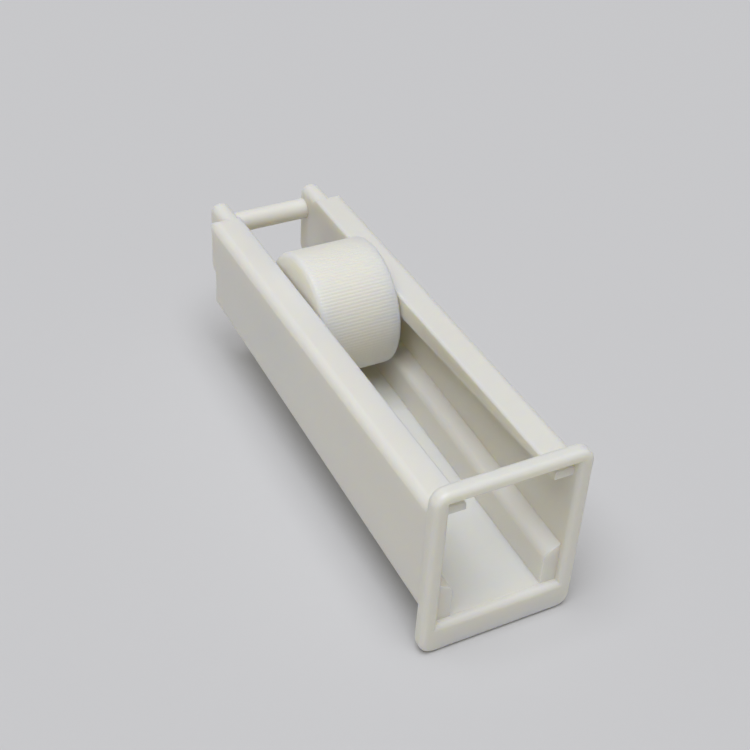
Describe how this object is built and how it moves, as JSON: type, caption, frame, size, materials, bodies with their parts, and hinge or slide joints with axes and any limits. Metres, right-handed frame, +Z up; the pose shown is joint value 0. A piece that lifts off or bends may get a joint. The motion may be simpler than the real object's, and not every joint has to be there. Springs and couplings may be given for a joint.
{
  "type": "roller tubing clamp",
  "caption": "Open-topped plastic channel with a front frame and rear ears; a ribbed thumb roller runs down sloping tracks and pinches a soft tube against the rising floor.",
  "frame": {"origin": "middle of the bounding box's bottom, in the mid plane between the two walls", "axes": "+Y from the front frame to the rear ears, along the tube; +Z up, out of the channel's open top; +X across the walls"},
  "size_m": [0.024, 0.081, 0.0303],
  "materials": {
    "housing_plastic": "satin",
    "roller_plastic": "satin"
  },
  "bodies": {
    "housing": {"housing": "housing_plastic"},
    "roller": {"roller": "roller_plastic"}
  },
  "joints": [
    {"name": "roller_slide", "type": "slide", "parent": "housing", "child": "roller", "axis": [0, 0.9988, -0.048], "range_m": [-0.039, 0.0114]}
  ]
}
